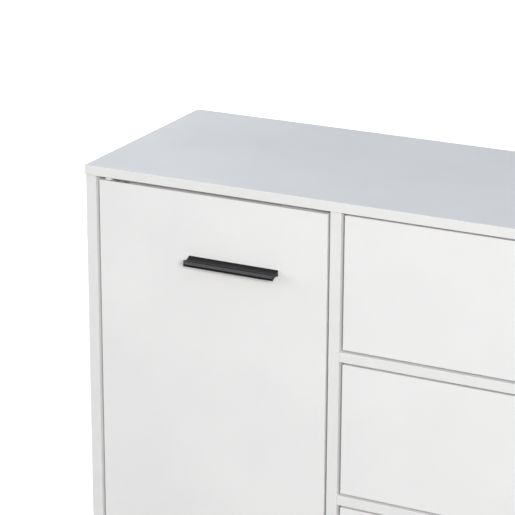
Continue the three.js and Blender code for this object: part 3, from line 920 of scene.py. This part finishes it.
def make_handle_master():
    """An extruded bar: a block with loops across it, each pinched to the section's height there."""
    low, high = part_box("drawer_handle_upper")
    middle_z = low.z - LIP_BOTTOM * MM
    bar = block(
        "handle_master",
        (low.x, low.y, middle_z - FLANGE_HALF * MM),
        (high.x, high.y, middle_z + FLANGE_HALF * MM),
    )
    for forward in HANDLE_LOOPS[1:-1]:
        slice_at(bar, 1, high.y - forward * MM)
    open_mesh(bar, "VERT")
    for forward in HANDLE_LOOPS:
        top, bottom = handle_heights(forward)
        for upper, height in ((True, top - FLANGE_HALF), (False, bottom + FLANGE_HALF)):
            bpy.ops.mesh.select_all(action="DESELECT")
            bpy.ops.object.mode_set(mode="OBJECT")
            for vertex in bar.data.vertices:
                here = abs(vertex.co.y - (high.y - forward * MM)) < 0.05 * MM
                vertex.select = here and (vertex.co.z > middle_z + NEAR) == upper
            bpy.ops.object.mode_set(mode="EDIT")
            bpy.ops.transform.translate(value=(0, 0, height * MM))
    close_mesh()
    bevel_edges(bar, lambda a, b: long_edge(a, b) and a.y < low.y + NEAR and a.z > middle_z, 1.1 * MM, 4)
    bevel_edges(bar, lambda a, b: long_edge(a, b) and a.y < low.y + NEAR and a.z < middle_z, LIP_CURL, 6)
    bevel_edges(bar, lambda a, b: long_edge(a, b) and 1.9 * MM < high.y - a.y < 2.1 * MM, 0.35 * MM, 2)

    def end_rim(a, b):
        return any(abs(a.x - end) < NEAR and abs(b.x - end) < NEAR for end in (low.x, high.x))

    bevel_edges(bar, end_rim, 0.3 * MM, 2)
    slice_at(bar, 2, low.z + BAND_FOOT)

    def band(centre, normal):
        return int(normal.y < -0.99 and centre.y < low.y + 0.05 * MM and centre.z > low.z + BAND_FOOT)

    # Front faces of the lip above BAND_FOOT get the lighter finish, a painted highlight; the rest stays
    # black.
    paint(bar, (BLACK_ANODISED, LIP_PAINTED_HIGHLIGHT), band)
    smooth(bar, 35)
    return bar


HANDLE_SCREWS = 64.0 * MM  # from the handle's middle to each of its two screws


def make_handles():
    bar = make_handle_master()
    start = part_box("drawer_handle_upper")[0]
    fronts = {"door_handle": ("door", "door_panel")}
    for name in DRAWERS:
        fronts[f"drawer_handle_{name}"] = (f"drawer_{name}", f"drawer_front_{name}")
    for node_name, (body, front) in fronts.items():
        low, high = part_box(node_name)
        piece = copy_of(bar, node_name + "_bar", low - start)
        fit(piece, body, "black_aluminium", node_name)
        middle_x, middle_z = (low.x + high.x) / 2, low.z - LIP_BOTTOM * MM
        front_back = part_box(front)[1].y
        for number, shift in enumerate((-HANDLE_SCREWS, HANDLE_SCREWS)):
            place = (middle_x + shift, front_back, middle_z)
            screw(f"{node_name}_screw_{number + 1}", place, "+y", body, "handle")
    bpy.data.objects.remove(bar)


# ---- Door and drawers ------------------------------------
ALL_ROUND = ("-x", "+x", "-z", "+z")
POCKET_DEPTH = 1.9 * MM  # of the pockets that the pivot plates are let into
PLATE_SLACK = 0.2 * MM
SCREW_SEAT = 0.5 * MM  # of the plates' screws, from the inner face of the plate


def make_door():
    low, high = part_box("door_panel")
    slack = Vector((PLATE_SLACK, PLATE_SLACK, 0))
    pockets = []
    for place, sign in PIVOT_ENDS:
        edge = high.z if sign > 0 else low.z
        pocket_low, pocket_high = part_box(f"door_pivot_{place}")
        pocket_low, pocket_high = pocket_low - slack, pocket_high + slack
        pocket_low.z, pocket_high.z = sorted((edge - sign * POCKET_DEPTH, edge + sign * PAST))
        pocket = block_cutter(pocket_low, pocket_high)
        bevel_edges(pocket, upright, PLATE_CORNER + PLATE_SLACK, 5)
        pockets.append(pocket)
    board("door_panel", "door", banded=ALL_ROUND, cutters=pockets)
    for place, sign in PIVOT_ENDS:
        seat = ends_of(f"door_pivot_{place}", sign)[0] + sign * SCREW_SEAT
        for number, screw_x in enumerate(plate_holes(place)):
            name = f"door_pivot_{place}_screw_{number + 1}"
            screw(name, (screw_x, PIVOT.y, seat), facing(sign), "door")
    low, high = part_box("catch_strike")
    place = ((low.x + high.x) / 2, high.y - 0.9 * MM, (low.z + high.z) / 2)
    screw("catch_strike_screw", place, "+y", "door", "strike")


def on_every_drawer(master, stem, tail, slot):
    """Copies a piece of the upper drawer onto the three drawers, each standing for its own CAD node."""
    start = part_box(f"{stem}_upper{tail}")[0]
    for name in DRAWERS:
        node_name = f"{stem}_{name}{tail}"
        piece = copy_of(master, node_name + "_piece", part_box(node_name)[0] - start)
        fit(piece, f"drawer_{name}", slot, node_name)
    bpy.data.objects.remove(master)


def make_drawers():
    sheet_foot, sheet_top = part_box("drawer_bottom_upper")

    def upper_block(node_name):
        return block("drawer_master", *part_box(node_name))

    def groove(low_x, high_x, low_y, high_y):
        """The slot that a drawer's bottom sheet sits in."""
        return block_cutter(
            (low_x, low_y, sheet_foot.z - GROOVE_SLACK), (high_x, high_y, sheet_top.z + GROOVE_SLACK)
        )

    front = upper_block("drawer_front_upper")
    front_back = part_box("drawer_front_upper")[1].y
    ends = sheet_foot.x - GROOVE_SLACK, sheet_top.x + GROOVE_SLACK
    shape_board(front, ALL_ROUND, cutters=(groove(*ends, front_back - GROOVE_DEPTH, front_back + PAST),))
    on_every_drawer(front, "drawer_front", "", "white_board")

    for side, into in (("left", 1), ("right", -1)):
        low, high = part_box(f"drawer_side_upper_{side}")
        inner = high.x if into > 0 else low.x
        edges = sorted((inner - into * GROOVE_DEPTH, inner + into * PAST))
        panel = upper_block(f"drawer_side_upper_{side}")
        shape_board(panel, ("+z",), ("+y", "-z"), cutters=(groove(*edges, low.y - PAST, high.y + PAST),))
        on_every_drawer(panel, "drawer_side", f"_{side}", "white_board")

    back = upper_block("drawer_back_upper")
    shape_board(back, ("+z",), ("-x", "+x"))
    on_every_drawer(back, "drawer_back", "", "white_board")

    sheet = upper_block("drawer_bottom_upper")
    shape_sheet(sheet, "+z")
    on_every_drawer(sheet, "drawer_bottom", "", "hardboard")


# ---- Drawer runners --------------------------------------
STEEL = 1.2 * MM
RUNNER_LIP = 4.0 * MM
RUNNER_HOLES = (0.12, 0.36, 0.62, 0.88)  # shares of the runner's length
SCREW_HOLES = RUNNER_HOLES[1], RUNNER_HOLES[3]
SCREW_HOLE_RADIUS, TOOL_HOLE_RADIUS = 2.2 * MM, 3.2 * MM


def make_channel(node_name, web_side, lip):
    """A rolled steel channel: closed on its web side, open on the other, with holes along its web."""
    low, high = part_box(node_name)
    sign = side_of(web_side)[1]
    web, mouth = (high.x, low.x) if sign > 0 else (low.x, high.x)
    channel = block("channel_master", low, high)
    soften(channel, 0.5 * MM)

    def open_up(one_x, other_x, wall):
        """Clears the channel between two places across it, leaving a wall above and below."""
        near_x, far_x = sorted((one_x, other_x))
        corners = (near_x, low.y - PAST, low.z + wall), (far_x, high.y + PAST, high.z - wall)
        carve(channel, block_cutter(*corners))

    open_up(web - sign * STEEL, mouth + sign * STEEL if lip else mouth - sign * PAST, STEEL)
    if lip:
        open_up(mouth + sign * 3 * STEEL, mouth - sign * PAST, lip)
    for share in RUNNER_HOLES:
        place = (web, low.y + share * (high.y - low.y), (low.z + high.z) / 2)
        radius = SCREW_HOLE_RADIUS if share in SCREW_HOLES else TOOL_HOLE_RADIUS
        carve(channel, rod_cutter(radius, place, 6.0 * MM, "x"))
    paint(channel, (ZINC,))
    smooth(channel, 40)
    return channel


def runner_screws(node_name, wall, outward, body):
    """Two screws on the inside of a runner's web, which lies against the wall side."""
    low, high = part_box(node_name)
    web = low.x + STEEL if wall == "-x" else high.x - STEEL
    for number, share in enumerate(SCREW_HOLES):
        place = (web, low.y + share * (high.y - low.y), (low.z + high.z) / 2)
        screw(f"{node_name}_screw_{number + 1}", place, outward, body)


def make_runners():
    for side, wall, outward in (("left", "-x", "+x"), ("right", "+x", "-x")):
        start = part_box(f"cabinet_runner_upper_{side}")[0]
        still = make_channel(f"cabinet_runner_upper_{side}", wall, RUNNER_LIP)
        for name in DRAWERS:
            node_name = f"cabinet_runner_{name}_{side}"
            piece = copy_of(still, node_name + "_channel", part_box(node_name)[0] - start)
            fit(piece, CARCASS, "zinc_steel", node_name)
            runner_screws(node_name, wall, outward, CARCASS)
        bpy.data.objects.remove(still)
        moving = make_channel(f"drawer_runner_upper_{side}", outward, 0)
        on_every_drawer(moving, "drawer_runner", f"_{side}", "zinc_steel")
        for name in DRAWERS:
            runner_screws(f"drawer_runner_{name}_{side}", outward, wall, f"drawer_{name}")


# ---- Making it all ---------------------------------------
make_carcass()
make_backs()
make_glides()
make_shelf_pins()
make_bushes()
make_pivots()
make_catch()
make_handles()
make_door()
make_drawers()
make_runners()
for master in SCREWS.values():
    bpy.data.objects.remove(master)


# ---- Floor, light and camera -----------------------------
FLOOR_RADIUS = 14.0
FLOOR_DROP = 0.5 * MM  # the floor lies this far under the glides
FLOOR_GLOW, FLOOR_GLOW_COLOUR = 0.5, (1.0, 0.975, 0.95, 1.0)
FLOOR_PALE, FLOOR_PALER = (0.86, 0.86, 0.86, 1.0), (0.88, 0.88, 0.88, 1.0)
FLOOR_BOUNCE = (0.18, 0.18, 0.18, 1.0)


def seen_or_not(tree, unseen, seen, leave):
    """Gives the camera one shader and every other ray another."""
    path = node(tree, "ShaderNodeLightPath")
    mix = node(tree, "ShaderNodeMixShader")
    wire(tree, path.outputs["Is Camera Ray"], mix.inputs["Fac"])
    wire(tree, unseen, mix.inputs[1])
    wire(tree, seen, mix.inputs[2])
    wire(tree, mix.outputs["Shader"], leave.inputs["Surface"])


def floor_paint():
    """Pale studio paint that looks white, and throws a softer light back up at the object."""
    material, tree, shader = new_finish("studio_floor_paint", Emission_Strength=FLOOR_GLOW)
    mottle = ramp(tree, noise(tree, object_place(tree), 1.3, detail=3), 0.35, 0.65)
    coloured(tree, shader, mottle, 0.0, 1.0, FLOOR_PALE, FLOOR_PALER)
    glossed(tree, shader, mottle, 0.0, 1.0, 0.7, 0.8)
    shader.inputs["Emission Color"].default_value = FLOOR_GLOW_COLOUR
    bounce = node(tree, "ShaderNodeBsdfDiffuse")
    bounce.inputs["Color"].default_value = FLOOR_BOUNCE
    seen_or_not(tree, bounce.outputs["BSDF"], shader.outputs["BSDF"], tree.nodes["Material Output"])
    return material


def make_floor():
    """A plain pale studio floor, faintly mottled, that fades into the backdrop."""
    bpy.ops.object.select_all(action="DESELECT")
    bpy.ops.mesh.primitive_circle_add(
        vertices=96, radius=FLOOR_RADIUS, fill_type="NGON", location=(0, 0, -FLOOR_DROP)
    )
    floor = named("studio_floor")
    floor.data.materials.append(floor_paint())


SKY_LOW, SKY_HIGH = (0.34, 0.337, 0.333, 1.0), (0.44, 0.484, 0.549, 1.0)
SKY_STRENGTH = 0.9
BACKDROP = (1.0, 1.0, 1.0, 1.0)


def make_world():
    """Soft studio light from all round, cooler overhead, with a white backdrop behind the object."""
    world = bpy.data.worlds.new("studio")
    bpy.context.scene.world = world
    world.use_nodes = True
    tree = world.node_tree
    tree.nodes.clear()
    split = node(tree, "ShaderNodeSeparateXYZ")
    wire(tree, node(tree, "ShaderNodeTexCoord").outputs["Generated"], split.inputs["Vector"])
    height = ramp(tree, split.outputs["Z"], 0.0, 0.9)
    light = node(tree, "ShaderNodeBackground")
    wire(tree, blend_colours(tree, height, SKY_LOW, SKY_HIGH), light.inputs["Color"])
    light.inputs["Strength"].default_value = SKY_STRENGTH
    backdrop = node(tree, "ShaderNodeBackground")
    backdrop.inputs["Color"].default_value = BACKDROP
    leave = node(tree, "ShaderNodeOutputWorld")
    seen_or_not(tree, light.outputs["Background"], backdrop.outputs["Background"], leave)


def soft_light(name, place, target, size, watts, colour, mirrored=True):
    """A softbox that the camera doesn't see. One that isn't mirrored leaves no glare on glossy faces."""
    bpy.ops.object.light_add(type="AREA", location=place)
    lamp = bpy.context.object
    lamp.name = name
    lamp.data.shape = "RECTANGLE"
    lamp.data.size, lamp.data.size_y = size
    lamp.data.energy = watts
    lamp.data.color = colour
    lamp.visible_camera = False
    lamp.visible_glossy = mirrored
    aim = Vector(target) - Vector(place)
    lamp.rotation_euler = aim.to_track_quat("-Z", "Y").to_euler()


WARM, NEUTRAL, COOL = (1.0, 0.985, 0.965), (1.0, 1.0, 1.0), (0.8, 0.9, 1.0)
make_floor()
make_world()
soft_light("key_softbox", (2.8, -4.8, 2.75), (0.0, 0.0, 0.5), (2.2, 1.6), 311, WARM, mirrored=False)
soft_light("fill_softbox", (-4.0, -2.0, 1.8), (0.0, 0.0, 0.4), (2.5, 2.0), 46, WARM)
soft_light("back_softbox", (-2.6, 3.8, 2.1), (-0.35, 0.0, 0.8), (2.4, 1.4), 10, COOL)
soft_light("rear_softbox", (-4.2, 4.2, 0.9), (0.0, 0.0, 0.45), (3.0, 1.2), 110, NEUTRAL)
soft_light("right_softbox", (4.6, 0.9, 0.8), (0.0, 0.0, 0.45), (2.0, 1.2), 18, NEUTRAL)

CAMERA_PLACE = (1.0910, -3.0327, 1.7822)
CAMERA_TURN, CAMERA_DIP = 27.034, 18.256  # degrees round from the front, and down
CAMERA_LENS, CAMERA_SENSOR = 151.98, 36.0  # millimetres
CAMERA_SHIFT = (0.05, -0.05)


def make_camera():
    turn = (math.radians(90 - CAMERA_DIP), 0, math.radians(CAMERA_TURN))
    bpy.ops.object.camera_add(location=CAMERA_PLACE, rotation=turn)
    camera = bpy.context.object
    camera.data.sensor_width = CAMERA_SENSOR
    camera.data.lens = CAMERA_LENS
    camera.data.shift_x, camera.data.shift_y = CAMERA_SHIFT
    camera.data.clip_start, camera.data.clip_end = 0.05, 60.0
    bpy.context.scene.camera = camera


make_camera()
bpy.context.scene.view_settings.view_transform = "Standard"
bpy.context.scene.view_settings.look = "None"
